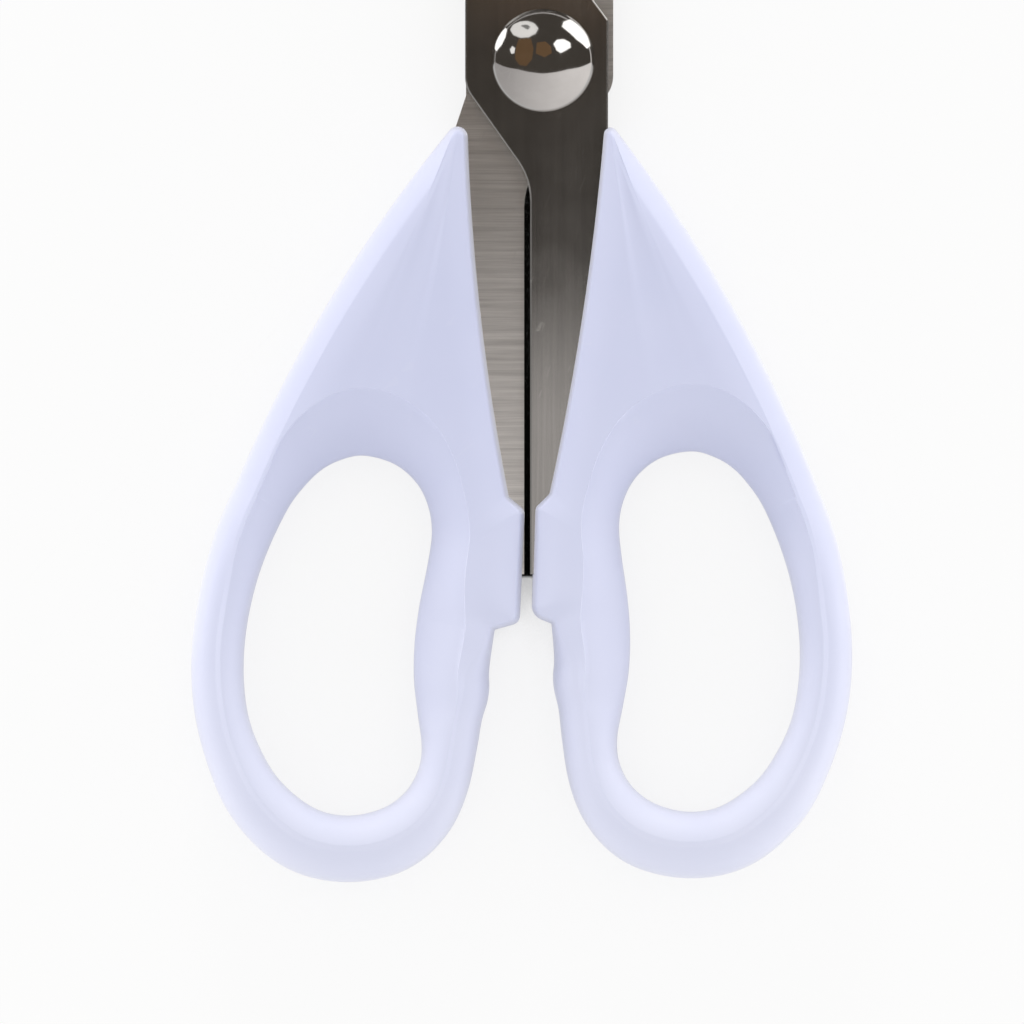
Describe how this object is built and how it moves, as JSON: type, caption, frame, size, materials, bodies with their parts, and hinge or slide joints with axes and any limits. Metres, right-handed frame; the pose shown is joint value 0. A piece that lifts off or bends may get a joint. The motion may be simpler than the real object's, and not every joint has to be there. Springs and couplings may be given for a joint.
{
  "type": "kitchen scissors",
  "caption": "Kitchen scissors with ground steel blades, moulded plastic finger loops and a domed pivot cap, lying on their back, opening about the pivot.",
  "frame": {"origin": "on the pivot axis, at the rear face of the pivot pin's head", "axes": "+Y from the pivot towards the blade tips, +Z along the pivot axis towards the domed cap, +X towards the front half's finger loop"},
  "size_m": [0.0876, 0.2148, 0.0105],
  "materials": {
    "ground_steel": "fine ground stainless steel",
    "lavender_plastic": "satin moulded plastic, pale lavender",
    "plain_steel": "plain turned steel",
    "polished_steel": "mirror polished steel"
  },
  "bodies": {
    "rear_half": {"rear_blade": "ground_steel", "rear_handle": "lavender_plastic", "pivot_pin": "plain_steel", "pivot_bush": "plain_steel", "pivot_washer": "plain_steel", "pivot_cap": "polished_steel"},
    "front_half": {"front_blade": "ground_steel", "front_handle": "lavender_plastic"}
  },
  "joints": [
    {"name": "pivot", "type": "hinge", "parent": "rear_half", "child": "front_half", "pos_m": [0, 0, 0.0046], "axis": [0, 0, 1], "range_deg": [-0.4, 76]}
  ]
}
